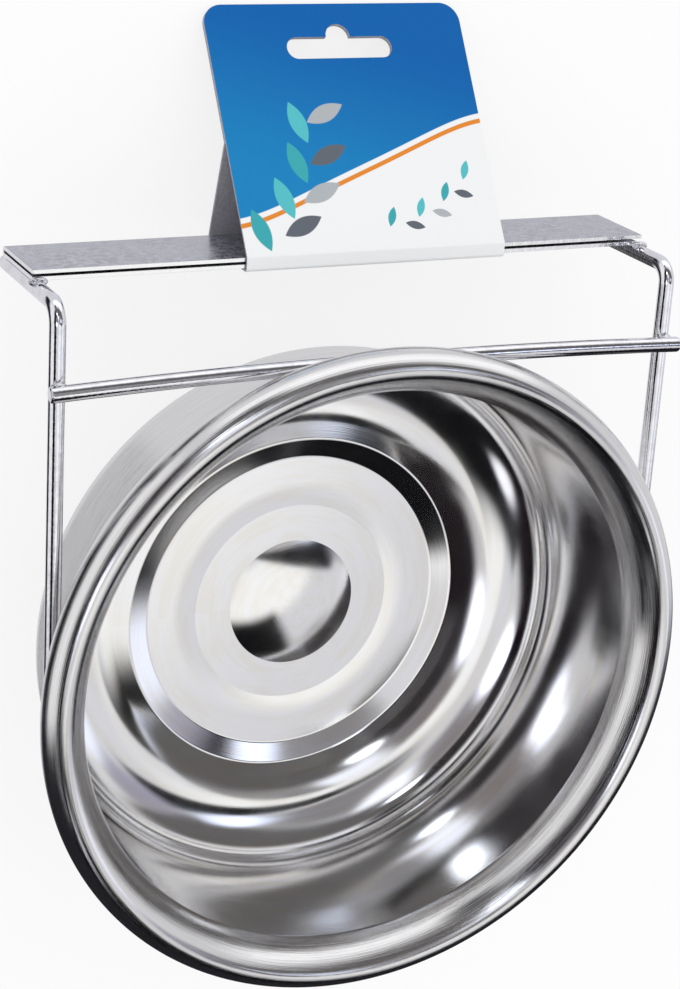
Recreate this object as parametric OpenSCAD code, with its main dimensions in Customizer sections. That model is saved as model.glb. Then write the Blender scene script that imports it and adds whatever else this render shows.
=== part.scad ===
/* [Cup] */
// Outer diameter of the rim
rim_d = 80; // [76:0.5:100]
// Height of the cup from its foot to the top of the rim
cup_h = 26.8; // [22:0.2:50]
// Thickness of the cup's sheet steel
sheet_t = 0.5; // [0.4:0.05:0.7]
// Width of the rim, from the neck's outside to the rim's outside
rim_w = 5; // [4.6:0.1:6.5]
// Slope of the rim's inner side below the bend at its top, from level
brow_slope = 40; // [35:1:45]
// Slope of the rim's inner side above the bend into the neck, from level
lip_slope = 77; // [72:1:80]
// Radius of the bend where the rim's inner side turns down into the neck
crease_r = 1; // [0.8:0.1:1.4]
// Lean of the wall towards the foot
wall_draft = 1.2; // [0:0.1:3]
// Outer radius of the bend from the wall to the shoulder
corner_r = 5; // [4:0.1:6]
// Height of the shoulder's underside above the foot
shoulder_h = 2.6; // [2.2:0.1:3.2]
// Width of the shoulder's flat top
shoulder_w = 0.5; // [0.2:0.1:1]
// Run of the slope from the valley up to the shoulder
shoulder_run = 3.8; // [3.4:0.1:4.4]
// Height of the valley's underside above the foot
valley_h = 0.85; // [0.6:0.05:0.95]
// Width of the valley's flat bottom
valley_w = 0.95; // [0.5:0.05:1.5]
// Height of the ridge's underside above the foot
ridge_h = 1.3; // [1.2:0.05:1.5]
// Slope of the ridge's outer side
ridge_slope = 12; // [9:1:15]
// Run of the slope from the floor's outer ring up to the ridge
step_run = 3; // [2.6:0.1:3.4]
// Radius where the flat ring round the dome ends
ring_r = 12.8; // [12:0.1:13.2]
// Run of the gentle slope from there up to the floor's outer ring
ring_run = 3; // [2:0.1:3.6]
// Rise of that slope
ring_rise = 0.25; // [0.1:0.05:0.35]
// Radius of the dome in the middle of the floor
dome_r = 8.2; // [7:0.1:9.5]
// Height of the dome above the flat ring round it
dome_h = 1; // [0.6:0.1:1.4]

/* [Rolled rim] */
// Radius of the rim's rounded outer side
bead_r = 2.8; // [2.6:0.1:3]
// Radius of the bend over the top of the rim
bead_top_r = 1.55; // [1.2:0.05:1.8]
// Radius of the tight bends under the rim
bead_low_r = 0.8; // [0.65:0.05:0.9]

/* [Wire holder] */
// Diameter of the wire
wire_d = 1.8; // [1.4:0.1:2.2]
// Gap between the cup's neck and the wire loop
loop_play = 1.4; // [0.8:0.1:2]
// Gap between the cup's neck and the crossbar's ends
bar_play = 0.95; // [0.5:0.05:2]
// Gap between the crossbar and the rim that hangs over it
seat_gap = 0.3; // [0.2:0.05:0.5]
// Bow of the crossbar away from the cup
bar_bow = 0.8; // [0.4:0.1:1.5]
// Length of the crossbar past each side wire's centre line
bar_over = 1.35; // [1:0.05:3]
// Clear gap between the crossbar and the arms that hook behind the cage
hook_gap = 7.2; // [5:0.1:15]
// Radius of the bends from the side wires to the arms, at the wire's centre
arm_bend_r = 2.1; // [1.5:0.1:4]
// Length of the arms, from the side wires' centre lines to their ends
arm_l = 18.1; // [15:0.1:30]

/* [Hanger plate] */
// Length of the plate past the left-hand arm's centre line
plate_left_over = 0.65; // [0.3:0.05:3]
// Length of the plate past the right-hand arm's centre line
plate_right_over = 0.25; // [0.1:0.05:3]
// Width of the plate
plate_w = 10.7; // [8:0.1:13]
// Thickness of the plate's sheet
plate_t = 0.45; // [0.35:0.05:0.55]
// Gap between the two layers of the folded plate
hem_gap = 0.3; // [0.1:0.05:0.6]
// How far the upper layer reaches past the lower one, at the right-hand end
hem_step = 0.6; // [0:0.1:2]
// Length of the arms left bare past the plate's back edge
arm_tail = 0.75; // [0.2:0.05:2]

/* [Header card] */
// Thickness of the card
card_t = 0.3; // [0.2:0.05:0.4]
// Width of the card
card_w = 32.3; // [25:0.1:40]
// Place of the card's middle along the plate
card_x = 2.6; // [-8:0.1:8]
// Gap between the card and the plate that it is folded round
card_gap = 0.1; // [0.1:0.05:0.3]
// Length of the front panel above the plate
card_h = 29.9; // [26:0.1:40]
// Lean of the panel away from the cup
card_lean = 33.6; // [20:0.1:38]
// Length of the front panel before the back panel meets it
card_join = 13.7; // [12:0.1:16]
// Radius of the card's upper corners
card_corner_r = 2.4; // [1:0.1:4]
// Width of the hanging slot
slot_w = 13.2; // [10:0.1:16]
// Height of the hanging slot
slot_h = 2.6; // [2:0.1:3.5]
// Depth of the slot's middle below the card's upper edge
slot_drop = 5.4; // [5:0.1:7]
// Radius of the round notch over the middle of the slot
notch_r = 1.5; // [1.1:0.1:1.9]
// Rise of the notch's middle above the slot's middle
notch_rise = 1.35; // [1:0.05:1.6]

/* [Hidden] */
wire_sides = 48;
loop_sides = 144;
turn_sides = 180;
bow_sides = 1200;
bend_step = 7;
overrun = 1;
wire_r = wire_d / 2;

// Directions in which the sheet of the rim faces where one bend runs into the next
top_turn = 55;
low_turn = -30;
base_turn = -90;
tail_turn = -190;

// Bends of the cup's sheet, in the plane of its radius and its height
ring_low_r = 0.6;
ridge_top_r = 0.8;
valley_low_r = 3;
shoulder_top_r = 2.2;
tail_gap = 0.3;
rim_r = rim_d / 2;
neck_r = rim_r - rim_w;
floor_z = sheet_t;
ring_z = floor_z + ring_rise;
ridge_z = ridge_h + sheet_t;
valley_z = valley_h + sheet_t;
shoulder_z = shoulder_h + sheet_t;
dome_ball_r = (dome_r * dome_r + dome_h * dome_h) / (2 * dome_h);
dome_a = asin(dome_r / dome_ball_r);
dome_mid = [0, floor_z + dome_h - dome_ball_r];
dome_edge = [dome_r, floor_z];
bead_top_z = (bead_r - bead_top_r) * sin(top_turn) + bead_top_r;
bead_mid = [rim_r - bead_r, cup_h - bead_top_z];
bead_top = bead_mid + (bead_r - bead_top_r) * [cos(top_turn), sin(top_turn)];
bead_low = bead_mid + (bead_r - bead_low_r) * [cos(low_turn), sin(low_turn)];
brow_turn = 90 + brow_slope;
lip_turn = 90 + lip_slope;
crease_x = neck_r - sheet_t + crease_r;
lip_reach = bead_top[0] + bead_top_r * cos(brow_turn) - crease_x - crease_r * cos(lip_turn);
lip_r = lip_reach / (cos(brow_turn) - cos(lip_turn));
lip_mid = bead_top + (bead_top_r - lip_r) * facing(brow_turn);
crease = lip_mid + (lip_r - crease_r) * facing(lip_turn);
corner_in_r = corner_r - sheet_t;
corner_z = shoulder_z + corner_in_r;
wall_reach = crease_r + corner_in_r + sin(wall_draft) * (crease[1] - corner_z);
corner = [crease_x - wall_reach / cos(wall_draft), corner_z];
shoulder_a = slope_turn(shoulder_run, shoulder_z - valley_z);
shoulder_low_r = shoulder_run / sin(shoulder_a) - shoulder_top_r;
shoulder = [corner[0] - shoulder_w, shoulder_z - shoulder_top_r];
shoulder_low = [shoulder[0] - shoulder_run, valley_z + shoulder_low_r];
valley = [shoulder_low[0] - valley_w, valley_z + valley_low_r];
ridge_turn = 90 - ridge_slope;
ridge_fall = valley[1] - ridge_z + ridge_top_r;
ridge_reach = (ridge_top_r + valley_low_r - ridge_fall * sin(ridge_turn)) / cos(ridge_turn);
ridge = [valley[0] - ridge_reach, ridge_z - ridge_top_r];
step_a = slope_turn(step_run, ridge_z - ring_z);
step_low_r = step_run / sin(step_a) - ridge_top_r;
step_low = [ridge[0] - step_run, ring_z + step_low_r];
ring_a = slope_turn(ring_run, ring_rise);
ring_top_r = ring_run / sin(ring_a) - ring_low_r;
ring_low = [ring_r, floor_z + ring_low_r];
ring_top = [ring_r + ring_run, ring_z - ring_top_r];
tail = [neck_r + sheet_t + tail_gap + bead_low_r, bead_low[1]];
rim_low_z = bead_low[1] - bead_low_r;

// Each bend of the sheet: its centre, its radius on the side that holds the seed
// (less than zero where the sheet wraps round the outside of the bend), and the
// directions that the sheet faces at its start and its end
cup_bends = [
    [dome_mid, dome_ball_r, 90, 90 - dome_a],
    [dome_edge, 0, 90 - dome_a, 90],
    [ring_low, -ring_low_r, 90, 90 + ring_a],
    [ring_top, ring_top_r, 90 + ring_a, 90],
    [step_low, -step_low_r, 90, 90 + step_a],
    [ridge, ridge_top_r, 90 + step_a, ridge_turn],
    [valley, -valley_low_r, ridge_turn, 90],
    [shoulder_low, -shoulder_low_r, 90, 90 + shoulder_a],
    [shoulder, shoulder_top_r, 90 + shoulder_a, 90],
    [corner, -corner_in_r, 90, 180 - wall_draft],
    [crease, crease_r, 180 - wall_draft, lip_turn],
    [lip_mid, lip_r, lip_turn, brow_turn],
    [bead_top, bead_top_r, brow_turn, top_turn],
    [bead_mid, bead_r, top_turn, low_turn],
    [bead_low, bead_low_r, low_turn, base_turn],
    [tail, bead_low_r, base_turn, tail_turn],
];

// Places of the holder's wires
loop_r = neck_r + loop_play + wire_r;
bar_z = rim_low_z - seat_gap - wire_r;
loop_z = bar_z - wire_d;
bar_y = neck_r + bar_play + wire_r;
bar_ball_r = (loop_r * loop_r + bar_bow * bar_bow) / (2 * bar_bow);
bar_a = asin((loop_r + bar_over) / bar_ball_r);
arm_y = bar_y + wire_d + hook_gap;
arm_end_z = loop_z - arm_l;
arm_corner_y = arm_y - arm_bend_r;
arm_corner_z = loop_z - arm_bend_r;
cross_weld_r = 1.05;

// Places of the plate's faces
plate_x0 = -loop_r - plate_left_over;
plate_x1 = loop_r + plate_right_over;
plate_y0 = arm_y + wire_r;
plate_y1 = plate_y0 + 2 * plate_t + hem_gap;
plate_z0 = arm_end_z + arm_tail;
plate_z1 = plate_z0 + plate_w;
fold_r = plate_t + hem_gap / 2;
bead_l = 1.2;
plate_weld_r = 0.5;

// Folds of the card, in the plane across the plate
card_low_y = plate_y0 - card_gap - card_t;
card_bend_y = plate_y1 + card_gap;
card_front_z = plate_z1 + card_gap + card_t;
card_back_z = plate_z0 - card_gap - card_t;
card_up = [cos(card_lean), -sin(card_lean)];
card_face = [sin(card_lean), cos(card_lean)];
card_bend = [card_bend_y, card_front_z];
card_bend_in = card_bend - card_t * [tan(card_lean / 2), 1];
card_meet = card_bend + card_join * card_up;
card_end = card_bend + (card_h + overrun) * card_up;

function facing(a) = [cos(a), sin(a)];

// How far the sheet turns on a slope of two equal and opposite bends
function slope_turn(run, rise) = 2 * atan(rise / run);

// Points along every bend, at a depth below the sheet's face
function sheet_line(depth) = [
    for (b = cup_bends)
        let (n = ceil(abs(b[3] - b[2]) / bend_step))
            for (i = [0 : n])
                b[0] + (b[1] - depth) * facing(b[2] + (b[3] - b[2]) * i / n)
];

function backwards(list) = [for (i = [len(list) - 1 : -1 : 0]) list[i]];

// The cup, one pressed sheet with a rolled rim
module cup() {
    color("silver")
        rotate_extrude($fn = turn_sides)
            polygon(concat(sheet_line(0), backwards(sheet_line(sheet_t))));
}

module side_wire() {
    translate([loop_r, 0, loop_z])
        rotate([-90, 0, 0])
            cylinder(r = wire_r, h = arm_corner_y, $fn = wire_sides);
    translate([loop_r, arm_corner_y, arm_corner_z])
        rotate([90, 0, 90])
            rotate_extrude(angle = 90, $fn = loop_sides)
                translate([arm_bend_r, 0])
                    circle(r = wire_r, $fn = wire_sides);
    translate([loop_r, arm_y, arm_corner_z])
        mirror([0, 0, 1])
            cylinder(r = wire_r, h = arm_l - arm_bend_r, $fn = wire_sides);
}

// The loop under the rim, with its two side wires and their arms, one bent wire
module wire_loop() {
    color("gainsboro") {
        side_wire();
        mirror([1, 0, 0])
            side_wire();
        translate([0, 0, loop_z])
            rotate([0, 0, 180])
                rotate_extrude(angle = 180, $fn = loop_sides)
                    translate([loop_r, 0])
                        circle(r = wire_r, $fn = wire_sides);
    }
}

// The slightly bowed wire laid across the side wires
module crossbar() {
    color("gainsboro")
        translate([0, bar_y + bar_bow - bar_ball_r, bar_z])
            rotate([0, 0, 90 - bar_a])
                rotate_extrude(angle = 2 * bar_a, $fn = bow_sides)
                    translate([bar_ball_r, 0])
                        circle(r = wire_r, $fn = wire_sides);
}

// The weld metal squeezed out round each crossing of the wires
module crossbar_welds() {
    color("darkgray")
        for (side = [-1, 1])
            translate([side * loop_r, bar_y, loop_z + wire_r])
                sphere(r = cross_weld_r, $fn = wire_sides);
}

// The plate's section, a strip folded double with its fold at the back
module plate_section() {
    for (low = [plate_y0, plate_y1 - plate_t])
        translate([low, plate_z0 + fold_r])
            square([plate_t, plate_w - fold_r]);
    translate([plate_y0 + fold_r, plate_z0 + fold_r])
        difference() {
            circle(r = fold_r, $fn = wire_sides);
            circle(r = hem_gap / 2, $fn = wire_sides);
            translate([-fold_r - overrun, 0])
                square([2 * (fold_r + overrun), fold_r + overrun]);
        }
}

// The flat plate across the backs of both arms
module hanger_plate() {
    color("lightsteelblue")
        difference() {
            translate([plate_x0, 0, 0])
                rotate([90, 0, 90])
                    linear_extrude(height = plate_x1 - plate_x0)
                        plate_section();
            translate([plate_x1 - hem_step, plate_y0 - overrun, plate_z0 - overrun])
                cube([hem_step + overrun, plate_t + hem_gap / 2 + overrun, plate_w + 2 * overrun]);
        }
}

// The small weld beads between the plate's front edge and the arms
module plate_welds() {
    color("darkgray")
        for (side = [-1, 1])
            translate([side * loop_r, plate_y0, plate_z1])
                difference() {
                    rotate([0, 90, 0]) {
                        cylinder(r = plate_weld_r, h = bead_l, center = true, $fn = wire_sides);
                        for (end = [-1, 1])
                            translate([0, 0, end * bead_l / 2])
                                sphere(r = plate_weld_r, $fn = wire_sides);
                    }
                    translate([-bead_l - overrun, 0, -plate_w])
                        cube([2 * (bead_l + overrun), plate_w, plate_w]);
                }
}

// The hanging slot, with a round notch over its middle
module slot_outline() {
    for (end = [-1, 1])
        translate([end * (slot_w - slot_h) / 2, 0])
            circle(d = slot_h, $fn = wire_sides);
    square([slot_w - slot_h, slot_h], center = true);
    translate([0, notch_rise])
        circle(r = notch_r, $fn = wire_sides);
}

// The outline that the card is cut to, across its front panel, with its upper corners and its slot
module card_outline() {
    difference() {
        union() {
            translate([-card_w / 2, -card_h])
                square([card_w, 2 * card_h - card_corner_r]);
            translate([card_corner_r - card_w / 2, 0])
                square([card_w - 2 * card_corner_r, card_h]);
            for (end = [-1, 1])
                translate([end * (card_w / 2 - card_corner_r), card_h - card_corner_r])
                    circle(r = card_corner_r, $fn = wire_sides);
        }
        translate([0, card_h - slot_drop])
            slot_outline();
    }
}

// The section of the card across the plate: folded round it, with both panels joined above
module card_section() {
    difference() {
        polygon([
            [card_low_y, card_front_z],
            card_bend,
            card_end,
            card_end - 2 * card_t * card_face,
            card_meet - 2 * card_t * card_face,
            [plate_y1, card_back_z],
            [card_low_y, card_back_z],
        ]);
        polygon([
            [card_low_y + card_t, card_front_z - card_t],
            card_bend_in,
            card_meet - card_t * card_face,
            [plate_y1, card_back_z + card_t],
            [card_low_y + card_t, card_back_z + card_t],
        ]);
    }
}

// The printed card, folded round the plate with both panels joined at the top
module header_card() {
    color("dodgerblue")
        translate([card_x, 0, 0])
            intersection() {
                translate([-card_w / 2 - overrun, 0, 0])
                    rotate([90, 0, 90])
                        linear_extrude(height = card_w + 2 * overrun)
                            card_section();
                translate([0, card_bend[0], card_bend[1]])
                    rotate([-card_lean, 0, 0])
                        linear_extrude(height = 2 * card_h, center = true)
                            card_outline();
            }
}

cup();
wire_loop();
crossbar();
crossbar_welds();
hanger_plate();
plate_welds();
header_card();
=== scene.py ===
import math

import bmesh
import bpy
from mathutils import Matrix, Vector, noise


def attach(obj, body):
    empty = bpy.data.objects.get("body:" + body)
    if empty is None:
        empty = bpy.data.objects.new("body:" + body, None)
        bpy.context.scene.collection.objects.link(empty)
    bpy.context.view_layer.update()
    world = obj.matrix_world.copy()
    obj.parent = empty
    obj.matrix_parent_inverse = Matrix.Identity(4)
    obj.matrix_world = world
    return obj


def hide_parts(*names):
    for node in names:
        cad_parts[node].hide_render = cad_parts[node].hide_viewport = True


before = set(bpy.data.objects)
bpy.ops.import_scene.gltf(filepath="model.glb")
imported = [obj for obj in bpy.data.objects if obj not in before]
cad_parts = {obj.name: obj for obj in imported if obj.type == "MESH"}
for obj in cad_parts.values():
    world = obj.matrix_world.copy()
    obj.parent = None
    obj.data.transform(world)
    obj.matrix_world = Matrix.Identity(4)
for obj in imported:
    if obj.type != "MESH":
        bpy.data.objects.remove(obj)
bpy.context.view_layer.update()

# Lengths below are millimetres, and MM turns them into metres. Angles are degrees.
MM = 0.001

# Cup: its rim and wall have the sizes of the frame's steel cup, and the rings in its floor
# are up to two millimetres lower, because they were fitted to the reflections they give
RIM_D = 80
CUP_H = 26.8
SHEET_T = 0.5
RIM_W = 5
BROW_SLOPE = 40
LIP_SLOPE = 77
CREASE_R = 1
WALL_DRAFT = 1.2
CORNER_R = 5
VALLEY_H = 0.3
VALLEY_R = 11
VALLEY_TURN = 35
RIDGE_H = 0.93
RIDGE_SLOPE = 12
RIDGE_TOP_R = 0.8
STEP_SLOPE = 18
STEP_LOW_R = 1
RING_R = 12.8
RING_RUN = 3
RING_RISE = 0.14
RING_LOW_R = 0.6
DOME_R = 8.2
DOME_H = 1

# Rolled bead of the rim: the radii of its bends, the gap between its tail and the neck, and the
# direction it faces where each bend ends
BEAD_R = 2.8
BEAD_TOP_R = 1.55
BEAD_LOW_R = 0.8
TAIL_GAP = 0.3
TOP_TURN = 55
LOW_TURN = -30
BASE_TURN = -90
TAIL_TURN = -190

# Faces of the cup: their number round it, their step along a bend and the fewest of a bend
CUP_TURNS = 300
BEND_STEP = 4
BEND_LEAST = 6
# Rows of faces closer than this meet, and rows face the same way above this cosine
ROW_GAP = 1e-5
SAME_FACING = 0.9999
# Number of the bend from the wall to the rim, past which the seed's side is brushed
CREASE_BEND = 8

# Wires of the holder
WIRE_R = 0.9
LOOP_PLAY = 1.4
BAR_PLAY = 0.95
SEAT_GAP = 0.3
BAR_BOW = 0.8
BAR_OVER = 1.35
HOOK_GAP = 7.2
ARM_BEND_R = 2.1
ARM_L = 18.1
END_ROUND = 0.25
# Faces round a wire, rows of a rounded end, step along a bend, and rows of half the crossbar
WIRE_SIDES = 48
END_ROWS = 4
WIRE_STEP = 3
BAR_ROWS = 20

# Welds: half their sizes, where the beads sit on the plate's edge, and how uneven the metal is
WELD_R = 1.05
WELD_FLAT = 0.9
BEAD_HALF_L = 1.08
PLATE_WELD_R = 0.5
BEAD_FRONT = 0.1
BEAD_UP = 0.05
SWELL = 0.08
SWELL_SCALE = 1.7
SWELL_SHIFT = 7.3

# Hanger plate
PLATE_LEFT_OVER = 0.65
PLATE_RIGHT_OVER = 0.25
PLATE_W = 10.7
PLATE_T = 0.45
HEM_GAP = 0.3
HEM_STEP = 0.6
HEM_ROWS = 10
ARM_TAIL = 0.75
PLATE_EDGE = 0.09
EDGE_ROWS = 3
EDGE_ANGLE = 50

# Header card
CARD_T = 0.3
CARD_W = 32.3
CARD_X = 2.6
CARD_GAP = 0.1
CARD_H = 29.9
CARD_LEAN = 33.6
CARD_JOIN = 13.7
CARD_CORNER_R = 2.4
CARD_FOLD_R = 0.3
CARD_EDGE = 0.04
SLOT_W = 13.2
SLOT_H = 2.6
SLOT_DROP = 5.4
NOTCH_R = 1.5
NOTCH_RISE = 1.35
# Rows of a fold, and steps along the arcs of a corner and of the slot
FOLD_ROWS = 6
CORNER_STEP = 6
SLOT_STEP = 8

# Camera, where the photograph was taken from, and its focal length in pixels of the photograph
EYE = (-110.04, 112.00, 237.29)
EYE_TURN = (-22.0738, -24.7472, 3.7514)
FOCAL_PX = 2282.77
PHOTO_H_PX = 989
SENSOR = 36


def cos_sin(angle):
    return math.cos(math.radians(angle)), math.sin(math.radians(angle))


def facing(angle):
    return Vector(cos_sin(angle))


def cross(a, b):
    return a.x * b.y - a.y * b.x


def arc_angles(start, end, step, least=1):
    count = max(least, math.ceil(abs(end - start) / step))
    return [start + (end - start) * i / count for i in range(count + 1)]


def add_object(name, data):
    made = bpy.data.objects.new(name, data)
    bpy.context.scene.collection.objects.link(made)
    return made


def mesh_piece(name, verts, faces, normals):
    """A mesh object from points in millimetres, shaded smooth with the given point normals."""
    mesh = bpy.data.meshes.new(name)
    mesh.from_pydata([Vector(v) * MM for v in verts], [], faces)
    mesh.validate()
    mesh.shade_smooth()
    mesh.normals_split_custom_set_from_vertices([Vector(n).normalized() for n in normals])
    return add_object(name, mesh)


def bmesh_piece(name, mesh):
    """An object with the faces of a bmesh, which is freed."""
    data = bpy.data.meshes.new(name)
    mesh.to_mesh(data)
    mesh.free()
    return add_object(name, data)


# The cup

rim_r = RIM_D / 2
neck_r = rim_r - RIM_W
bead_mid_z = CUP_H - ((BEAD_R - BEAD_TOP_R) * math.sin(math.radians(TOP_TURN)) + BEAD_TOP_R)


def slope_turn(run, rise):
    """How far the sheet turns on a slope of two equal and opposite bends."""
    return 2 * math.degrees(math.atan(rise / run))


def slope_radii(run, turn):
    """The sum of the radii of those two bends."""
    return run / math.sin(math.radians(turn))


def cup_bends():
    """Each bend of the sheet: its centre, its radius on the seed's side, and the directions that it
    faces at its start and its end."""
    ring_z, ridge_z = SHEET_T + RING_RISE, RIDGE_H + SHEET_T
    dome_ball_r = (DOME_R ** 2 + DOME_H ** 2) / (2 * DOME_H)
    dome_a = math.degrees(math.asin(DOME_R / dome_ball_r))
    dome_mid = Vector((0, SHEET_T + DOME_H - dome_ball_r))
    bead_mid = Vector((rim_r - BEAD_R, bead_mid_z))
    bead_top = bead_mid + (BEAD_R - BEAD_TOP_R) * facing(TOP_TURN)
    bead_low = bead_mid + (BEAD_R - BEAD_LOW_R) * facing(LOW_TURN)
    brow_turn, lip_turn = 90 + BROW_SLOPE, 90 + LIP_SLOPE
    brow, lip = facing(brow_turn), facing(lip_turn)
    crease_x = neck_r - SHEET_T + CREASE_R
    lip_r = (bead_top.x + BEAD_TOP_R * brow.x - crease_x - CREASE_R * lip.x) / (brow.x - lip.x)
    lip_mid = bead_top + (BEAD_TOP_R - lip_r) * brow
    crease = lip_mid + (lip_r - CREASE_R) * lip
    corner_in_r = CORNER_R - SHEET_T
    join = facing(90 + VALLEY_TURN)
    corner_z = VALLEY_H + SHEET_T + VALLEY_R - (VALLEY_R - corner_in_r) * join.y
    draft = math.radians(WALL_DRAFT)
    wall_reach = CREASE_R + corner_in_r + math.sin(draft) * (crease.y - corner_z)
    corner = Vector((crease_x - wall_reach / math.cos(draft), corner_z))
    valley = corner + (VALLEY_R - corner_in_r) * join
    ridge_turn = 90 - RIDGE_SLOPE
    ridge_face = facing(ridge_turn)
    ridge_fall = valley.y - ridge_z + RIDGE_TOP_R
    ridge_reach = (RIDGE_TOP_R + VALLEY_R - ridge_fall * ridge_face.y) / ridge_face.x
    ridge = Vector((valley.x - ridge_reach, ridge_z - RIDGE_TOP_R))
    slope = math.radians(STEP_SLOPE)
    step_turn = 90 + STEP_SLOPE
    step_rounding = (RIDGE_TOP_R + STEP_LOW_R) * (1 - math.cos(slope))
    step_run = ((ridge_z - ring_z) * math.cos(slope) + step_rounding) / math.sin(slope)
    ring_a = slope_turn(RING_RUN, RING_RISE)
    ring_top_r = slope_radii(RING_RUN, ring_a) - RING_LOW_R
    tail = Vector((neck_r + SHEET_T + TAIL_GAP + BEAD_LOW_R, bead_low.y))
    return [
        (dome_mid, dome_ball_r, 90, 90 - dome_a),
        (Vector((DOME_R, SHEET_T)), 0, 90 - dome_a, 90),
        (Vector((RING_R, SHEET_T + RING_LOW_R)), -RING_LOW_R, 90, 90 + ring_a),
        (Vector((RING_R + RING_RUN, ring_z - ring_top_r)), ring_top_r, 90 + ring_a, 90),
        (Vector((ridge.x - step_run, ring_z + STEP_LOW_R)), -STEP_LOW_R, 90, step_turn),
        (ridge, RIDGE_TOP_R, step_turn, ridge_turn),
        (valley, -VALLEY_R, ridge_turn, 90 + VALLEY_TURN),
        (corner, -corner_in_r, 90 + VALLEY_TURN, 180 - WALL_DRAFT),
        (crease, CREASE_R, 180 - WALL_DRAFT, lip_turn),
        (lip_mid, lip_r, lip_turn, brow_turn),
        (bead_top, BEAD_TOP_R, brow_turn, TOP_TURN),
        (bead_mid, BEAD_R, TOP_TURN, LOW_TURN),
        (bead_low, BEAD_LOW_R, LOW_TURN, BASE_TURN),
        (tail, BEAD_LOW_R, BASE_TURN, TAIL_TURN),
    ]


def meets(row, other):
    """Whether two rows of the section lie in the same place."""
    return (row[0] - other[0]).length < ROW_GAP


def single_rows(section):
    """The section without repeated rows: a sharp edge keeps one row for each of its two sides."""
    rows = section[:1]
    for row in section[1:]:
        if not meets(row, rows[-1]) or row[1].dot(rows[-1][1]) < SAME_FACING:
            rows.append(row)
    inner = [row for last, row, after in zip(rows, rows[1:], rows[2:])
             if not (meets(last, row) and meets(row, after))]
    return rows[:1] + inner + rows[-1:]


def cup_shell():
    """The cup as one turned sheet, with the exact normals of its bends."""
    section = []
    for depth, sign in ((0, 1), (SHEET_T, -1)):
        line = []
        for number, (centre, radius, start, end) in enumerate(cup_bends()):
            grain = 1 if sign < 0 or number > CREASE_BEND else 0
            for angle in arc_angles(start, end, BEND_STEP, BEND_LEAST):
                out = facing(angle)
                line.append((centre + (radius - depth) * out, sign * out, grain))
        section += line if sign > 0 else line[::-1]
    section = single_rows(section)
    verts, normals, faces, rows, grains = [], [], [], [], []
    for point, normal, grain in section:
        on_axis = abs(point.x) < ROW_GAP
        rows.append((len(verts), on_axis))
        for i in range(1 if on_axis else CUP_TURNS):
            a = math.tau * i / CUP_TURNS
            verts.append((point.x * math.cos(a), point.x * math.sin(a), point.y))
            normals.append((normal.x * math.cos(a), normal.x * math.sin(a), normal.y))
            grains.append(grain)
    for row, after, (low, low_axis), (high, high_axis) in zip(section, section[1:], rows, rows[1:]):
        if meets(row, after):
            continue
        for i in range(CUP_TURNS):
            j = (i + 1) % CUP_TURNS
            if low_axis:
                faces.append((low, high + j, high + i))
            elif high_axis:
                faces.append((low + i, low + j, high))
            else:
                faces.append((low + i, low + j, high + j, high + i))
    shell = mesh_piece("cup_shell", verts, [f[::-1] for f in faces], normals)
    shell.data.attributes.new("grain", "FLOAT", "POINT").data.foreach_set("value", grains)
    return shell


# The wires

rim_low_z = bead_mid_z + (BEAD_R - BEAD_LOW_R) * math.sin(math.radians(LOW_TURN)) - BEAD_LOW_R
loop_r = neck_r + LOOP_PLAY + WIRE_R
bar_z = rim_low_z - SEAT_GAP - WIRE_R
loop_z = bar_z - 2 * WIRE_R
bar_y = neck_r + BAR_PLAY + WIRE_R
arm_y = bar_y + 2 * WIRE_R + HOOK_GAP
arm_end_z = loop_z - ARM_L


def round_end(point, ahead, radius, way):
    """Rows of a wire's rounded end, the outermost first. way is 1 where it begins and -1 where it stops."""
    rows = []
    for i in range(END_ROWS + 1):
        a = math.pi / 2 * i / END_ROWS
        along, shrink = END_ROUND * (1 - math.cos(a)), END_ROUND * (1 - math.sin(a))
        rows.append((point + ahead * (way * along), ahead, radius - shrink, -way * math.cos(a)))
    return rows


def wire(name, path, radius):
    """A round wire along path, a list of (point, direction), with slightly rounded ends."""
    rows = round_end(*path[0], radius, 1)
    rows += [(point, ahead, radius, 0) for point, ahead in path[1:-1]]
    rows += round_end(*path[-1], radius, -1)[::-1]
    verts, normals = [], []
    side = rows[0][1].orthogonal().normalized()
    for point, ahead, r, lean in rows:
        side = (side - ahead * side.dot(ahead)).normalized()
        up = ahead.cross(side)
        for k in range(WIRE_SIDES):
            turn = math.tau * k / WIRE_SIDES
            out = side * math.cos(turn) + up * math.sin(turn)
            verts.append(point + out * r)
            normals.append(out * math.sqrt(1 - lean * lean) + ahead * lean)
    last = (len(rows) - 1) * WIRE_SIDES
    faces = []
    for a in range(0, last, WIRE_SIDES):
        b = a + WIRE_SIDES
        for k in range(WIRE_SIDES):
            j = (k + 1) % WIRE_SIDES
            faces.append((a + k, a + j, b + j, b + k))
    faces.append(tuple(range(WIRE_SIDES))[::-1])
    faces.append(tuple(range(last, last + WIRE_SIDES)))
    return mesh_piece(name, verts, faces, normals)


def arm_path(x):
    """One arm from its lower end up, and the bend at its top."""
    corner_y, corner_z = arm_y - ARM_BEND_R, loop_z - ARM_BEND_R
    path = [(Vector((x, arm_y, arm_end_z)), Vector((0, 0, 1)))]
    for a in arc_angles(0, 90, WIRE_STEP):
        c, s = cos_sin(a)
        path.append((Vector((x, corner_y + ARM_BEND_R * c, corner_z + ARM_BEND_R * s)), Vector((0, -s, c))))
    return path


def loop_path():
    """The one bent wire: up the right-hand arm, round under the rim, and down the left-hand arm."""
    path = arm_path(loop_r)
    for a in arc_angles(0, 180, WIRE_STEP / 2):
        c, s = cos_sin(a)
        path.append((Vector((loop_r * c, -loop_r * s, loop_z)), Vector((-s, -c, 0))))
    return path + [(point, -ahead) for point, ahead in reversed(arm_path(-loop_r))]


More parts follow.
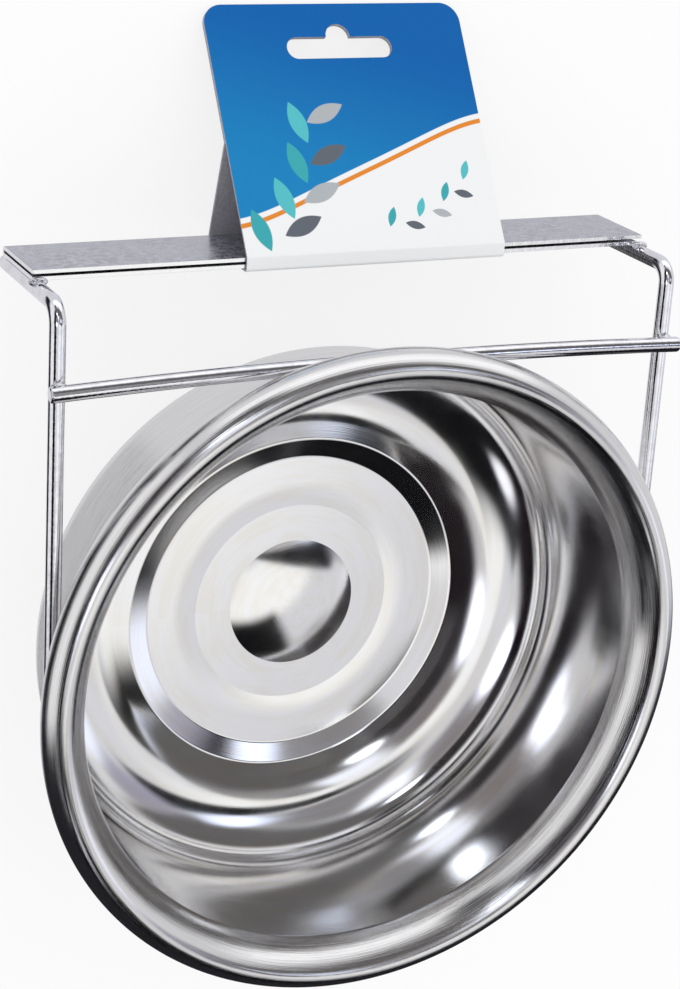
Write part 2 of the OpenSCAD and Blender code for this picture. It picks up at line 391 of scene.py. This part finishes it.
def bar_path():
    """The crossbar, whose middle bows away from the cup."""
    bow_r = (loop_r ** 2 + BAR_BOW ** 2) / (2 * BAR_BOW)
    reach = math.asin((loop_r + BAR_OVER) / bow_r)
    path = []
    for i in range(-BAR_ROWS, BAR_ROWS + 1):
        a = reach * i / BAR_ROWS
        point = Vector((bow_r * math.sin(a), bar_y + BAR_BOW - bow_r + bow_r * math.cos(a), bar_z))
        path.append((point, Vector((math.cos(a), -math.sin(a), 0))))
    return path


def nugget(name, places, size):
    """Lumps of weld metal, each a ball drawn out by size and made a little uneven."""
    mesh = bmesh.new()
    for k, place in enumerate(places):
        made = bmesh.ops.create_icosphere(mesh, subdivisions=4, radius=1)
        for v in made["verts"]:
            uneven = 1 + SWELL * noise.noise(v.co * SWELL_SCALE + Vector((SWELL_SHIFT * k, 0, 0)))
            v.co = Vector((v.co.x * size[0], v.co.y * size[1], v.co.z * size[2])) * uneven
            v.co = (v.co + Vector(place)) * MM
    piece = bmesh_piece(name, mesh)
    piece.data.shade_smooth()
    return piece


# The hanger plate

plate_x0 = -loop_r - PLATE_LEFT_OVER
plate_x1 = loop_r + PLATE_RIGHT_OVER
plate_y0 = arm_y + WIRE_R
plate_y1 = plate_y0 + 2 * PLATE_T + HEM_GAP
plate_z0 = arm_end_z + ARM_TAIL
plate_z1 = plate_z0 + PLATE_W


def plate_sheet():
    """The strip folded double, its fold at the back, with the layer next to the arms a step shorter."""
    fold_r = PLATE_T + HEM_GAP / 2
    mid_y, fold_z = plate_y0 + fold_r, plate_z0 + fold_r
    bend = [math.pi / 2 * i / HEM_ROWS for i in range(HEM_ROWS + 1)]

    def side_line(reach):
        """One side of a layer and of its half of the fold, from the open edge."""
        return [(mid_y + reach, plate_z1)] + [
            (mid_y + reach * math.cos(a), fold_z - abs(reach) * math.sin(a)) for a in bend]

    mesh = bmesh.new()
    corners = {}

    def corner(y, z):
        key = (round(y, 5), round(z, 5))
        if key not in corners:
            corners[key] = mesh.verts.new((plate_x0 * MM, y * MM, z * MM))
        return corners[key]

    def layer(side):
        outline = side_line(side * fold_r) + side_line(side * HEM_GAP / 2)[::-1]
        return mesh.faces.new([corner(*point) for point in outline])

    def push(faces, distance, keep):
        made = bmesh.ops.extrude_face_region(mesh, geom=faces, use_keep_orig=keep)["geom"]
        moved = [g for g in made if isinstance(g, bmesh.types.BMVert)]
        bmesh.ops.translate(mesh, verts=moved, vec=(distance * MM, 0, 0))
        return [g for g in made if isinstance(g, bmesh.types.BMFace)]

    caps = push([layer(-1), layer(1)], plate_x1 - HEM_STEP - plate_x0, True)
    far = max(caps, key=lambda f: f.calc_center_median().y)
    push([far], HEM_STEP, False)
    bmesh.ops.recalc_face_normals(mesh, faces=mesh.faces)
    piece = bmesh_piece("plate_sheet", mesh)
    piece.data.shade_smooth()
    bevel = piece.modifiers.new("edges", "BEVEL")
    bevel.width = PLATE_EDGE * MM
    bevel.segments = EDGE_ROWS
    bevel.limit_method = "ANGLE"
    bevel.angle_limit = math.radians(EDGE_ANGLE)
    bevel.harden_normals = True
    return piece


# The header card

card_low_y = plate_y0 - CARD_GAP - CARD_T
card_front_z = plate_z1 + CARD_GAP + CARD_T
card_back_z = plate_z0 - CARD_GAP - CARD_T
lean = math.radians(CARD_LEAN)
card_up = Vector((math.cos(lean), -math.sin(lean)))
card_face = Vector((math.sin(lean), math.cos(lean)))
card_bend = Vector((plate_y1 + CARD_GAP, card_front_z))
card_meet = card_bend + CARD_JOIN * card_up


def card_line():
    """Stations along the middle of the folded card, front panel first: how far along the card each
    one lies, its place and its outward direction."""
    back_meet = card_meet - 2 * CARD_T * card_face
    outline = [
        card_bend + CARD_H * card_up,
        card_bend,
        Vector((card_low_y, card_front_z)),
        Vector((card_low_y, card_back_z)),
        Vector((plate_y1, card_back_z)),
        back_meet,
        back_meet + (CARD_H - CARD_JOIN) * card_up,
    ]
    runs = []
    for a, b in zip(outline, outline[1:]):
        ahead = (b - a).normalized()
        out = Vector((ahead.y, -ahead.x))
        runs.append((a - out * CARD_T / 2, ahead, out, (b - a).length))
    corners = [runs[0][0]]
    for (a, d, _, _), (b, e, _, _) in zip(runs, runs[1:]):
        corners.append(a + d * (cross(b - a, e) / cross(d, e)))
    start, ahead, _, length = runs[-1]
    corners.append(start + ahead * length)
    travelled, here = 0, corners[0]
    stations = [(travelled, here, runs[0][2])]
    for corner, (_, d, out, _), (_, e, next_out, _) in zip(corners[1:], runs, runs[1:]):
        turn = abs(d.angle_signed(e))
        cut = CARD_FOLD_R * math.tan(turn / 2)
        begin, end = corner - d * cut, corner + e * cut
        travelled += (begin - here).length
        # The fold's centre lies inside the card, or outside it where the card bends outward
        reach = -CARD_FOLD_R if out.dot(end - begin) > 0 else CARD_FOLD_R
        centre = begin - out * reach
        for k in range(FOLD_ROWS + 1):
            share = k / FOLD_ROWS
            face = (out * (1 - share) + next_out * share).normalized()
            stations.append((travelled + CARD_FOLD_R * turn * share, centre + face * reach, face))
        travelled += CARD_FOLD_R * turn
        here = end
    travelled += (corners[-1] - here).length
    stations.append((travelled, corners[-1], runs[-1][2]))
    return stations


def card_blank(length):
    """The flat card before it is folded: a long strip with round corners and a slot near both ends."""
    curve = bpy.data.curves.new("card_blank", "CURVE")
    curve.dimensions = "2D"
    curve.fill_mode = "BOTH"
    curve.extrude = (CARD_T / 2 - CARD_EDGE) * MM
    curve.bevel_depth = CARD_EDGE * MM
    curve.bevel_resolution = 1
    curve.offset = -CARD_EDGE * MM

    def ring(points):
        spline = curve.splines.new("POLY")
        spline.points.add(len(points) - 1)
        for point, (x, y) in zip(spline.points, points):
            point.co = (x * MM, y * MM, 0, 1)
        spline.use_cyclic_u = True

    def arc(x, y, r, start, end, step):
        return [(x + r * c, y + r * s) for c, s in map(cos_sin, arc_angles(start, end, step))]

    right, low, high = CARD_W / 2 - CARD_CORNER_R, CARD_CORNER_R, length - CARD_CORNER_R
    corners = ((right, high), (-right, high), (-right, low), (right, low))
    ring([point for turn, (x, y) in zip((0, 90, 180, 270), corners)
          for point in arc(x, y, CARD_CORNER_R, turn, turn + 90, CORNER_STEP)])
    slot_r = SLOT_H / 2
    reach = (SLOT_W - SLOT_H) / 2
    meet = math.degrees(math.asin((slot_r - NOTCH_RISE) / NOTCH_R))
    slot = (arc(reach, 0, slot_r, -90, 90, SLOT_STEP)
            + arc(0, NOTCH_RISE, NOTCH_R, meet, 180 - meet, SLOT_STEP)
            + arc(-reach, 0, slot_r, 90, 270, SLOT_STEP))
    ring([(x, SLOT_DROP - y) for x, y in slot])
    ring([(x, length - SLOT_DROP + y) for x, y in slot])
    blank = add_object("card_blank", curve)
    bpy.context.view_layer.update()
    data = bpy.data.meshes.new_from_object(blank.evaluated_get(bpy.context.evaluated_depsgraph_get()))
    bpy.data.objects.remove(blank)
    return data


def folded_card():
    """The blank cut across at every station and laid along them. Its flat measures stay as a UV map."""
    # Metres: corners of the blank this close are one, and a corner this close to a cut is on it
    same_corner, on_cut = 1e-7, 1e-8
    # Millimetres: how far past a station a corner still belongs to it
    slack = 1e-6
    stations = card_line()
    mesh = bmesh.new()
    mesh.from_mesh(card_blank(stations[-1][0]))
    bmesh.ops.remove_doubles(mesh, verts=mesh.verts, dist=same_corner)
    for cut, _, _ in stations[1:-1]:
        bmesh.ops.bisect_plane(mesh, geom=mesh.verts[:] + mesh.edges[:] + mesh.faces[:],
                               plane_co=(0, cut * MM, 0), plane_no=(0, 1, 0), dist=on_cut)
    flat = mesh.loops.layers.uv.new("flat")
    for face in mesh.faces:
        printed = face.normal.z > 0.5
        face.material_index = 0 if printed else 1
        for loop in face.loops:
            loop[flat].uv = (loop.vert.co.x / MM, loop.vert.co.y / MM)

    def place(s):
        for (s0, p0, n0), (s1, p1, n1) in zip(stations, stations[1:]):
            if s <= s1 + slack:
                share = (s - s0) / (s1 - s0)
                return p0.lerp(p1, share), n0.lerp(n1, share).normalized()
        return stations[-1][1:]

    for v in mesh.verts:
        point, out = place(v.co.y / MM)
        point = point + out * (v.co.z / MM)
        v.co = Vector((CARD_X * MM + v.co.x, point.x * MM, point.y * MM))
    bmesh.ops.recalc_face_normals(mesh, faces=mesh.faces)
    return bmesh_piece("folded_card", mesh)


# Materials

# Nearly all of a noise's values lie between these two
NOISE_RANGE = (0.3, 0.7)


class Graph:
    """Short ways to add the nodes of one material or of the world."""

    def __init__(self, owner):
        owner.use_nodes = True
        self.nodes = owner.node_tree.nodes
        self.links = owner.node_tree.links

    def feed(self, socket, value):
        if isinstance(value, bpy.types.NodeSocket):
            self.links.new(value, socket)
        elif socket.type == "RGBA":
            socket.default_value = (*value, 1)
        else:
            socket.default_value = value

    def node(self, kind, output=0, settings=(), **values):
        node = self.nodes.new("ShaderNode" + kind)
        for name, value in dict(settings).items():
            setattr(node, name, value)
        for name, value in values.items():
            self.feed(node.inputs[name.replace("_", " ")], value)
        return node.outputs[output]

    def math(self, operation, *values):
        node = self.nodes.new("ShaderNodeMath")
        node.operation = operation
        for socket, value in zip(node.inputs, values):
            self.feed(socket, value)
        return node.outputs[0]

    def mix(self, share, first, second):
        node = self.nodes.new("ShaderNodeMix")
        node.data_type = "RGBA"
        for number, value in ((0, share), (6, first), (7, second)):
            self.feed(node.inputs[number], value)
        return node.outputs[2]

    def ease(self, value, begin, finish, low=0, high=1):
        """Goes smoothly from low to high while value goes from begin to finish."""
        node = self.nodes.new("ShaderNodeMapRange")
        node.interpolation_type = "SMOOTHSTEP"
        for socket, number in zip(node.inputs, (value, begin, finish, low, high)):
            self.feed(socket, number)
        return node.outputs[0]

    def spread(self, value, low=0, high=1):
        """Goes smoothly from low to high over the range of a noise."""
        return self.ease(value, *NOISE_RANGE, low, high)

    def noise(self, vector, scale, detail=2):
        return self.node("TexNoise", Vector=vector, Scale=scale, Detail=detail)

    def split(self, vector):
        node = self.nodes.new("ShaderNodeSeparateXYZ")
        self.feed(node.inputs[0], vector)
        return node.outputs[:]

    def place(self):
        """The point on the piece, in millimetres, as three numbers and as a vector."""
        point = self.node("TexCoord", "Object")
        scaled = self.nodes.new("ShaderNodeVectorMath")
        scaled.operation = "SCALE"
        self.feed(scaled.inputs[0], point)
        self.feed(scaled.inputs["Scale"], 1 / MM)
        return *self.split(scaled.outputs[0]), scaled.outputs[0]

    def bump(self, height, depth):
        return self.node("Bump", Height=height, Distance=depth * MM, Strength=1)


def finish(name, metallic, build):
    """A material whose build function feeds the shader's sockets from its nodes."""
    material = bpy.data.materials.new(name)
    graph = Graph(material)
    shader = graph.nodes["Principled BSDF"]
    shader.inputs["Metallic"].default_value = metallic
    for socket, value in build(graph).items():
        graph.feed(shader.inputs[socket], value)
    return material


def mottled(graph, scale, detail, contrast, tones, rough, depth):
    """Colour, roughness and relief that all follow one noise."""
    *_, point = graph.place()
    spots = graph.noise(point, scale, detail)
    return {
        "Base Color": graph.mix(graph.ease(spots, *contrast), *tones),
        "Roughness": graph.spread(spots, *rough),
        "Normal": graph.bump(spots, depth),
    }


# Cup: its polish from the floor to the duller wall, the brush marks, how much of them shows in the
# polish, and the warmer streaks round it
POLISH_TONES = ((0.90, 0.90, 0.91), (0.88, 0.86, 0.82))
POLISH_ROUGH = (0.08, 0.13)
CLOUD_SCALE = 0.11
FLAT_R = 20
WALL_R = 26
WALL_DULL = 1.15
BRUSH_TONES = ((0.78, 0.77, 0.76), (0.86, 0.85, 0.84))
BRUSH_ROUGH = (0.11, 0.22)
BRUSH_DEPTH = 0.016
BRUSH_ACROSS = 9
BRUSH_ROUND = 3
BRUSH_IN_POLISH = 0.1
STREAK_SCALE = 0.9
STREAK_ROUND = 2.2
STREAK_CONTRAST = (0.35, 0.7)


def cup_steel(graph):
    """Mirror polish where the seed lies, and fine rings of brush marks on the rim and the outside."""
    x, y, z, point = graph.place()
    radius = graph.math("SQRT", graph.math("ADD", graph.math("MULTIPLY", x, x), graph.math("MULTIPLY", y, y)))
    turn = graph.math("ARCTAN2", y, x)
    grain = graph.node("Attribute", "Fac", {"attribute_name": "grain"})
    rings = graph.node("CombineXYZ", X=graph.math("MULTIPLY", radius, BRUSH_ACROSS),
                       Y=graph.math("MULTIPLY", z, BRUSH_ACROSS), Z=graph.math("MULTIPLY", turn, BRUSH_ROUND))
    marks = graph.noise(rings, 1, 4)
    clouds = graph.noise(point, CLOUD_SCALE, 4)
    bands = graph.node("CombineXYZ", X=graph.math("MULTIPLY", turn, STREAK_ROUND), Y=radius, Z=z)
    streaks = graph.noise(bands, STREAK_SCALE, 3)
    dulled = graph.ease(radius, FLAT_R, WALL_R, 1, WALL_DULL)
    polished = graph.math("MULTIPLY", graph.spread(clouds, *POLISH_ROUGH), dulled)
    brushed = graph.spread(marks, *BRUSH_ROUGH)
    change = graph.math("MULTIPLY", grain, graph.math("SUBTRACT", brushed, polished))
    inside = graph.mix(graph.ease(streaks, *STREAK_CONTRAST), *POLISH_TONES)
    outside = graph.mix(graph.spread(marks), *BRUSH_TONES)
    shown = graph.math("ADD", graph.math("MULTIPLY", grain, 1 - BRUSH_IN_POLISH), BRUSH_IN_POLISH)
    return {
        "Base Color": graph.mix(grain, inside, outside),
        "Roughness": graph.math("ADD", polished, change),
        "Normal": graph.bump(graph.math("MULTIPLY", marks, shown), BRUSH_DEPTH),
    }


CHROME_TONES = ((0.90, 0.90, 0.92), (0.80, 0.80, 0.83))
CHROME_ROUGH = (0.05, 0.14)
CHROME_DEPTH = 0.012
SPOT_SCALE = 0.7
SPOT_CONTRAST = (0.4, 0.7)
RIPPLE_SCALE = 2.5


def wire_chrome(graph):
    """Bright plating with faint cloudy spots."""
    *_, point = graph.place()
    spots = graph.noise(point, SPOT_SCALE, 4)
    return {
        "Base Color": graph.mix(graph.ease(spots, *SPOT_CONTRAST), *CHROME_TONES),
        "Roughness": graph.spread(spots, *CHROME_ROUGH),
        "Normal": graph.bump(graph.noise(point, RIPPLE_SCALE), CHROME_DEPTH),
    }


def weld_metal(graph):
    """Plated weld metal, rougher than the wire and a little lumpy."""
    return mottled(graph, scale=2.6, detail=5, contrast=(0.35, 0.65),
                   tones=((0.62, 0.62, 0.64), (0.92, 0.92, 0.93)), rough=(0.12, 0.4), depth=0.12)


PLATE_TONES = ((0.38, 0.38, 0.43), (0.64, 0.64, 0.71))
PLATE_ROUGH = (0.2, 0.42)
PLATE_DEPTH = 0.035
MOTTLE_SCALE = 1.3
MOTTLE_CONTRAST = (0.34, 0.66)
SPANGLE_TONE = (0.55, 0.55, 0.60)
SPANGLE_SCALE = 0.22
SPANGLE_CONTRAST = (0.35, 0.65)
SPANGLE_SHARE = 0.5
# The faces look along Y. Between these two lengths of the normal's Y part the edge takes over, which is less
# rough and whose brighter colour is a painted highlight.
EDGE_FACING = (0.95, 0.55)
PAINTED_EDGE_HIGHLIGHT = (0.93, 0.93, 0.94)
EDGE_POLISH = 0.35


def plate_steel(graph):
    """Dull mottled plating on the strip's faces, and edges in a brighter colour that is a painted highlight.
    """
    *_, point = graph.place()
    _, toward_y, _ = graph.split(graph.node("NewGeometry", "Normal"))
    edge = graph.ease(graph.math("ABSOLUTE", toward_y), *EDGE_FACING)
    mottle = graph.noise(point, MOTTLE_SCALE, 6)
    spangle = graph.noise(point, SPANGLE_SCALE, 3)
    face = graph.mix(graph.ease(mottle, *MOTTLE_CONTRAST), *PLATE_TONES)
    face = graph.mix(graph.ease(spangle, *SPANGLE_CONTRAST, 0, SPANGLE_SHARE), face, SPANGLE_TONE)
    rough = graph.spread(mottle, *PLATE_ROUGH)
    return {
        # The edges' brighter colour is a painted highlight
        "Base Color": graph.mix(edge, face, PAINTED_EDGE_HIGHLIGHT),
        "Roughness": graph.math("MULTIPLY", rough, graph.ease(edge, 0, 1, 1, EDGE_POLISH)),
        "Normal": graph.bump(mottle, PLATE_DEPTH),
    }


# Print of the card, in millimetres across it and down it from its upper edge. The blue field reaches
# down to FIELD_LEFT and FIELD_RIGHT in a slightly waved line, with the stripe STRIPE_DROP below it.
FIELD_LEFT = 25.3
FIELD_RIGHT = 14
WAVE_H = 0.7
WAVE_RATE = 0.2
FIELD_SOFT = 0.06
STRIPE_DROP = 0.9
STRIPE_W = 0.55
STRIPE_SOFT = 0.05
STRIPE_TONE = (0.83, 0.27, 0.03)
WHITE_TONE = (0.93, 0.94, 0.95)
# The blue grows lighter downwards and a little to the left, and its ink is slightly uneven
BLUE_TONES = ((0.0, 0.13, 0.46), (0.008, 0.25, 0.58))
GLOW_RANGE = (2, 26)
GLOW_SLANT = -0.3
INK_TONE = (0.0, 0.07, 0.25)
INK_SCALE = 6
INK_SHARE = 0.12
# The print ends just past the plate's edge, where it fades to the unprinted card, whose grey is partly the
# board's own and partly painted shade
PRINT_OVER = 2
PRINT_FADE = 0.2
UNPRINTED_SHADE_TONE = (0.34, 0.34, 0.39)
CARD_SHEEN = 0.17
CARD_ROUGH = (0.36, 0.5)
FIBRE_SCALE = 3.2
FIBRE_DEPTH = 0.012
# Each sprig: its foot and tip, its number of leaves, and a leaf's length and width
SPRIGS = (
    ((-12.2, 27.6), (-5.2, 12.6), 8, 5.2, 2.0),
    ((2.8, 26.8), (13.2, 21.6), 7, 2.5, 0.95),
)
LEAF_TONES = ((0.05, 0.42, 0.47), (0.13, 0.15, 0.18), (0.10, 0.55, 0.60), (0.46, 0.49, 0.52))
# Distance of a leaf's middle from the stalk, and the stalk's bow, both in lengths of a leaf
LEAF_OFF = 0.35
STALK_BOW = 0.4
LEAF_SPREAD = 42
LEAF_SOFT = 0.06


def leaf(graph, across, down, middle, length, width, turn):
    """A mask that is 1 inside a pointed leaf."""
    c, s = cos_sin(turn)
    dx = graph.math("SUBTRACT", across, middle[0])
    dy = graph.math("SUBTRACT", down, middle[1])
    along = graph.math("ADD", graph.math("MULTIPLY", dx, 2 * c / length),
                       graph.math("MULTIPLY", dy, 2 * s / length))
    beside = graph.math("ADD", graph.math("MULTIPLY", dx, -2 * s / width),
                        graph.math("MULTIPLY", dy, 2 * c / width))
    edge = graph.math("ADD", graph.math("MULTIPLY", along, along), graph.math("ABSOLUTE", beside))
    return graph.ease(edge, 1 + LEAF_SOFT, 1 - LEAF_SOFT)


def sprigs(graph, across, down, colour):
    """The colour with the leaves of both sprigs over it."""
    for foot, tip, leaves, length, width in SPRIGS:
        run, fall = tip[0] - foot[0], tip[1] - foot[1]
        heading = math.atan2(fall, run)
        for number in range(leaves):
            share = number / (leaves - 1)
            side = 1 if number % 2 else -1
            shift = (LEAF_OFF * side + STALK_BOW * math.sin(math.pi * share)) * length
            middle = (foot[0] + run * share - math.sin(heading) * shift,
                      foot[1] + fall * share + math.cos(heading) * shift)
            turn = math.degrees(heading) + side * LEAF_SPREAD
            mask = leaf(graph, across, down, middle, length, width, turn)
            colour = graph.mix(mask, colour, LEAF_TONES[number % len(LEAF_TONES)])
    return colour


def card_print(graph):
    """A blue field over a white one, with an orange stripe between them and two sprigs of leaves."""
    across, down, _ = graph.split(graph.node("UVMap", 0, {"uv_map": "flat"}))
    sheet = graph.node("CombineXYZ", X=across, Y=down)
    shore = graph.ease(across, -CARD_W / 2, CARD_W / 2, FIELD_LEFT, FIELD_RIGHT)
    wave = graph.math("MULTIPLY", graph.math("SINE", graph.math("MULTIPLY", across, WAVE_RATE)), WAVE_H)
    depth = graph.math("SUBTRACT", down, graph.math("ADD", shore, wave))
    glow = graph.math("ADD", graph.math("MULTIPLY", across, GLOW_SLANT), down)
    blue = graph.mix(graph.ease(glow, *GLOW_RANGE), *BLUE_TONES)
    ink = graph.noise(sheet, INK_SCALE, 3)
    blue = graph.mix(graph.spread(ink, 0, INK_SHARE), blue, INK_TONE)
    colour = graph.mix(graph.ease(depth, -FIELD_SOFT, FIELD_SOFT), blue, WHITE_TONE)
    away = graph.math("ABSOLUTE", graph.math("SUBTRACT", depth, STRIPE_DROP))
    stripe = graph.ease(away, STRIPE_W / 2 + STRIPE_SOFT, STRIPE_W / 2 - STRIPE_SOFT)
    colour = sprigs(graph, across, down, graph.mix(stripe, colour, STRIPE_TONE))
    unprinted_shade = graph.ease(down, CARD_H + PRINT_OVER, CARD_H + PRINT_OVER + PRINT_FADE)
    fibre = graph.noise(sheet, FIBRE_SCALE, 5)
    return {
        # Past the print the card turns a grey that is partly painted shade
        "Base Color": graph.mix(unprinted_shade, colour, UNPRINTED_SHADE_TONE),
        "Specular IOR Level": CARD_SHEEN,
        "Roughness": graph.spread(fibre, *CARD_ROUGH),
        "Normal": graph.bump(fibre, FIBRE_DEPTH),
    }


def card_board_and_shade(graph):
    """The card's unprinted inner side and its cut edges, in a grey that is partly the board's own and partly
    painted shade.
    """
    # These grey tones are partly painted shade
    return mottled(graph, scale=FIBRE_SCALE, detail=6, contrast=NOISE_RANGE,
                   tones=((0.34, 0.34, 0.38), (0.44, 0.44, 0.48)), rough=(0.7, 0.9), depth=0.02)


# Pieces

cup = cup_shell()
cup.data.materials.append(finish("cup_steel", 1, cup_steel))
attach(cup, "cup")
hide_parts("cup")

chrome = finish("wire_chrome", 1, wire_chrome)
weld = finish("weld_metal", 1, weld_metal)
loop = wire("bent_wire", loop_path(), WIRE_R)
bar = wire("cross_wire", bar_path(), WIRE_R)
crossings = nugget("crossing_welds", [(side * loop_r, bar_y, loop_z + WIRE_R) for side in (-1, 1)],
                   (WELD_R, WELD_R, WELD_R * WELD_FLAT))
beads = nugget("plate_beads",
               [(side * loop_r, plate_y0 - BEAD_FRONT, plate_z1 + BEAD_UP) for side in (-1, 1)],
               (BEAD_HALF_L, PLATE_WELD_R, PLATE_WELD_R))
plate = plate_sheet()
for piece, node, slot, material in (
        (loop, "wire_loop", "wire_chrome", chrome),
        (bar, "crossbar", "wire_chrome", chrome),
        (crossings, "crossbar_welds", "weld_metal", weld),
        (beads, "plate_welds", "weld_metal", weld),
        (plate, "hanger_plate", "plate_steel", finish("plate_steel", 0.9, plate_steel))):
    piece.data.materials.append(material)
    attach(piece, "holder")
    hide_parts(node)

card = folded_card()
card.data.materials.append(finish("card_print", 0, card_print))
card.data.materials.append(finish("card_board_and_shade", 0, card_board_and_shade))
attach(card, "card")
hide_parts("header_card")

# Studio: a white floor and a light surround, with soft screens and round spots that the metal mirrors.
# A screen has the azimuth of its middle, from +X towards +Y, its half width, its lowest and highest
# elevation and how soft its edges are, all in degrees, and its colour. A spot has the azimuth and the
# elevation of its middle, its radius and how soft its edge is, and its colour.

SURROUND = (0.72, 0.72, 0.75)
SCREENS = (
    (172, 42, -14, 34, 6, (0.90, 0.90, 0.92)),
    (72, 42, -12, 20, 6, (1.15, 1.15, 1.18)),
    (62, 54, 28, 59, 5, (0.13, 0.125, 0.125)),
    (148, 34, 26, 57, 6, (0.03, 0.026, 0.03)),
    (146, 30, 57, 78, 4, (0.24, 0.22, 0.23)),
    (96, 15, 59, 73, 3, (1.2, 1.25, 1.4)),
    (-60, 44, 58, 84, 3, (1.0, 1.0, 0.99)),
    (45, 33, 60, 87, 4, (0.25, 0.245, 0.26)),
    (-87, 65, -58, 24, 6, (0.018, 0.018, 0.022)),
    (-94, 34, 15, 60, 3, (0.006, 0.006, 0.007)),
    (-148, 36, 26, 54, 4, (0.008, 0.005, 0.007)),
    (178, 48, -58, -22, 6, (0.02, 0.02, 0.024)),
    (-6, 11, 48, 86, 2, (0.006, 0.006, 0.007)),
)
SPOTS = (
    (-47, 24, 15, 4, (0.008, 0.008, 0.010)),
    (105, 20, 9, 5, (0.05, 0.05, 0.055)),
    (110, 50, 5, 2, (3.4, 3.6, 4.0)),
    (-174, 62, 8, 3, (1.9, 2.0, 2.3)),
    (17, 59, 6, 2, (1.2, 1.3, 1.6)),
    (0, 42, 8, 4, (0.36, 0.35, 0.43)),
    (-18, 30, 9, 4, (1.0, 1.05, 1.2)),
    (-110, 42, 5, 3, (1.2, 1.2, 1.3)),
)
WHITE = (1, 1, 1)
# The even light on all that doesn't mirror, and how much of the floor's look is the backdrop's white
PLAIN_LIGHT = 0.95
BACKDROP = 0.8
FLOOR_SIDE = 6000
FLOOR_GAP = 0.05
FLOOR_TONES = ((0.96, 0.96, 0.96), (0.98, 0.98, 0.98))
FLOOR_SCALE = 0.01
FLOOR_ROUGH = 0.9
LAMP_POWER = 0.09
LAMP_SIDE = 400
LAMP_PLACE = (-300, 260, 420)


def studio_world():
    world = bpy.data.worlds.new("studio")
    bpy.context.scene.world = world
    graph = Graph(world)
    world.cycles.sampling_method = "NONE"
    direction = graph.node("TexCoord", "Generated")
    x, y, z = graph.split(direction)
    azimuth = graph.math("ARCTAN2", y, x)
    elevation = graph.math("ARCSINE", z)
    colour = SURROUND
    for middle, half, low, high, soft, tone in SCREENS:
        beside = graph.math("WRAP", graph.math("SUBTRACT", azimuth, math.radians(middle)), math.pi, -math.pi)
        above = graph.math("SUBTRACT", elevation, math.radians((low + high) / 2))
        masks = [
            graph.ease(graph.math("ABSOLUTE", away), math.radians(reach + soft), math.radians(reach - soft))
            for away, reach in ((beside, half), (above, (high - low) / 2))]
        colour = graph.mix(graph.math("MULTIPLY", *masks), colour, tone)
    for turn, lift, radius, soft, tone in SPOTS:
        (c, s), (level, up) = cos_sin(turn), cos_sin(lift)
        near = graph.nodes.new("ShaderNodeVectorMath")
        near.operation = "DOT_PRODUCT"
        graph.feed(near.inputs[0], direction)
        graph.feed(near.inputs[1], (c * level, s * level, up))
        outer, inner = math.cos(math.radians(radius + soft)), math.cos(math.radians(radius - soft))
        colour = graph.mix(graph.ease(near.outputs["Value"], outer, inner), colour, tone)
    rays = graph.nodes.new("ShaderNodeLightPath")
    colour = graph.mix(rays.outputs["Is Glossy Ray"], (PLAIN_LIGHT,) * 3, colour)
    colour = graph.mix(rays.outputs["Is Camera Ray"], colour, WHITE)
    graph.feed(graph.nodes["Background"].inputs["Color"], colour)


def studio_floor():
    """A large square just under the object's lowest point."""
    low_z = min((piece.matrix_world @ Vector(corner)).z
                for piece in (cup, loop, plate, card) for corner in piece.bound_box)
    half = FLOOR_SIDE * MM / 2
    mesh = bpy.data.meshes.new("floor")
    mesh.from_pydata([(-half, -half, 0), (half, -half, 0), (half, half, 0), (-half, half, 0)], [],
                     [(0, 1, 2, 3)])
    mesh.materials.append(floor_paint())
    floor = add_object("floor", mesh)
    floor.location.z = low_z - FLOOR_GAP * MM
    floor.visible_glossy = False


def floor_paint():
    """White paint, which the camera sees against a white backdrop with the object's soft shadow."""
    material = finish("floor", 0, lambda graph: {
        "Base Color": graph.mix(graph.noise(graph.place()[-1], FLOOR_SCALE), *FLOOR_TONES),
        "Roughness": FLOOR_ROUGH,
        "Specular IOR Level": 0,
    })
    graph = Graph(material)
    rays = graph.nodes.new("ShaderNodeLightPath")
    glow = graph.node("Emission", Color=WHITE, Strength=1)
    blend = graph.nodes.new("ShaderNodeMixShader")
    graph.feed(blend.inputs[0], graph.math("MULTIPLY", rays.outputs["Is Camera Ray"], BACKDROP))
    graph.feed(blend.inputs[1], graph.nodes["Principled BSDF"].outputs[0])
    graph.feed(blend.inputs[2], glow)
    graph.feed(graph.nodes["Material Output"].inputs["Surface"], blend.outputs[0])
    return material


def studio_lamp():
    """A round soft lamp that looks at the origin and isn't mirrored."""
    light = bpy.data.lights.new("soft_lamp", "AREA")
    light.shape = "DISK"
    light.size = LAMP_SIDE * MM
    light.energy = LAMP_POWER
    lamp = add_object("soft_lamp", light)
    lamp.location = Vector(LAMP_PLACE) * MM
    lamp.rotation_euler = (-Vector(LAMP_PLACE)).to_track_quat("-Z", "Y").to_euler()
    lamp.visible_glossy = False


studio_world()
studio_floor()
studio_lamp()

camera_data = bpy.data.cameras.new("camera")
camera_data.sensor_width = SENSOR
camera_data.lens = SENSOR * FOCAL_PX / PHOTO_H_PX
camera = add_object("camera", camera_data)
camera.location = Vector(EYE) * MM
camera.rotation_euler = [math.radians(a) for a in EYE_TURN]
bpy.context.scene.camera = camera
bpy.context.scene.view_settings.view_transform = "Standard"
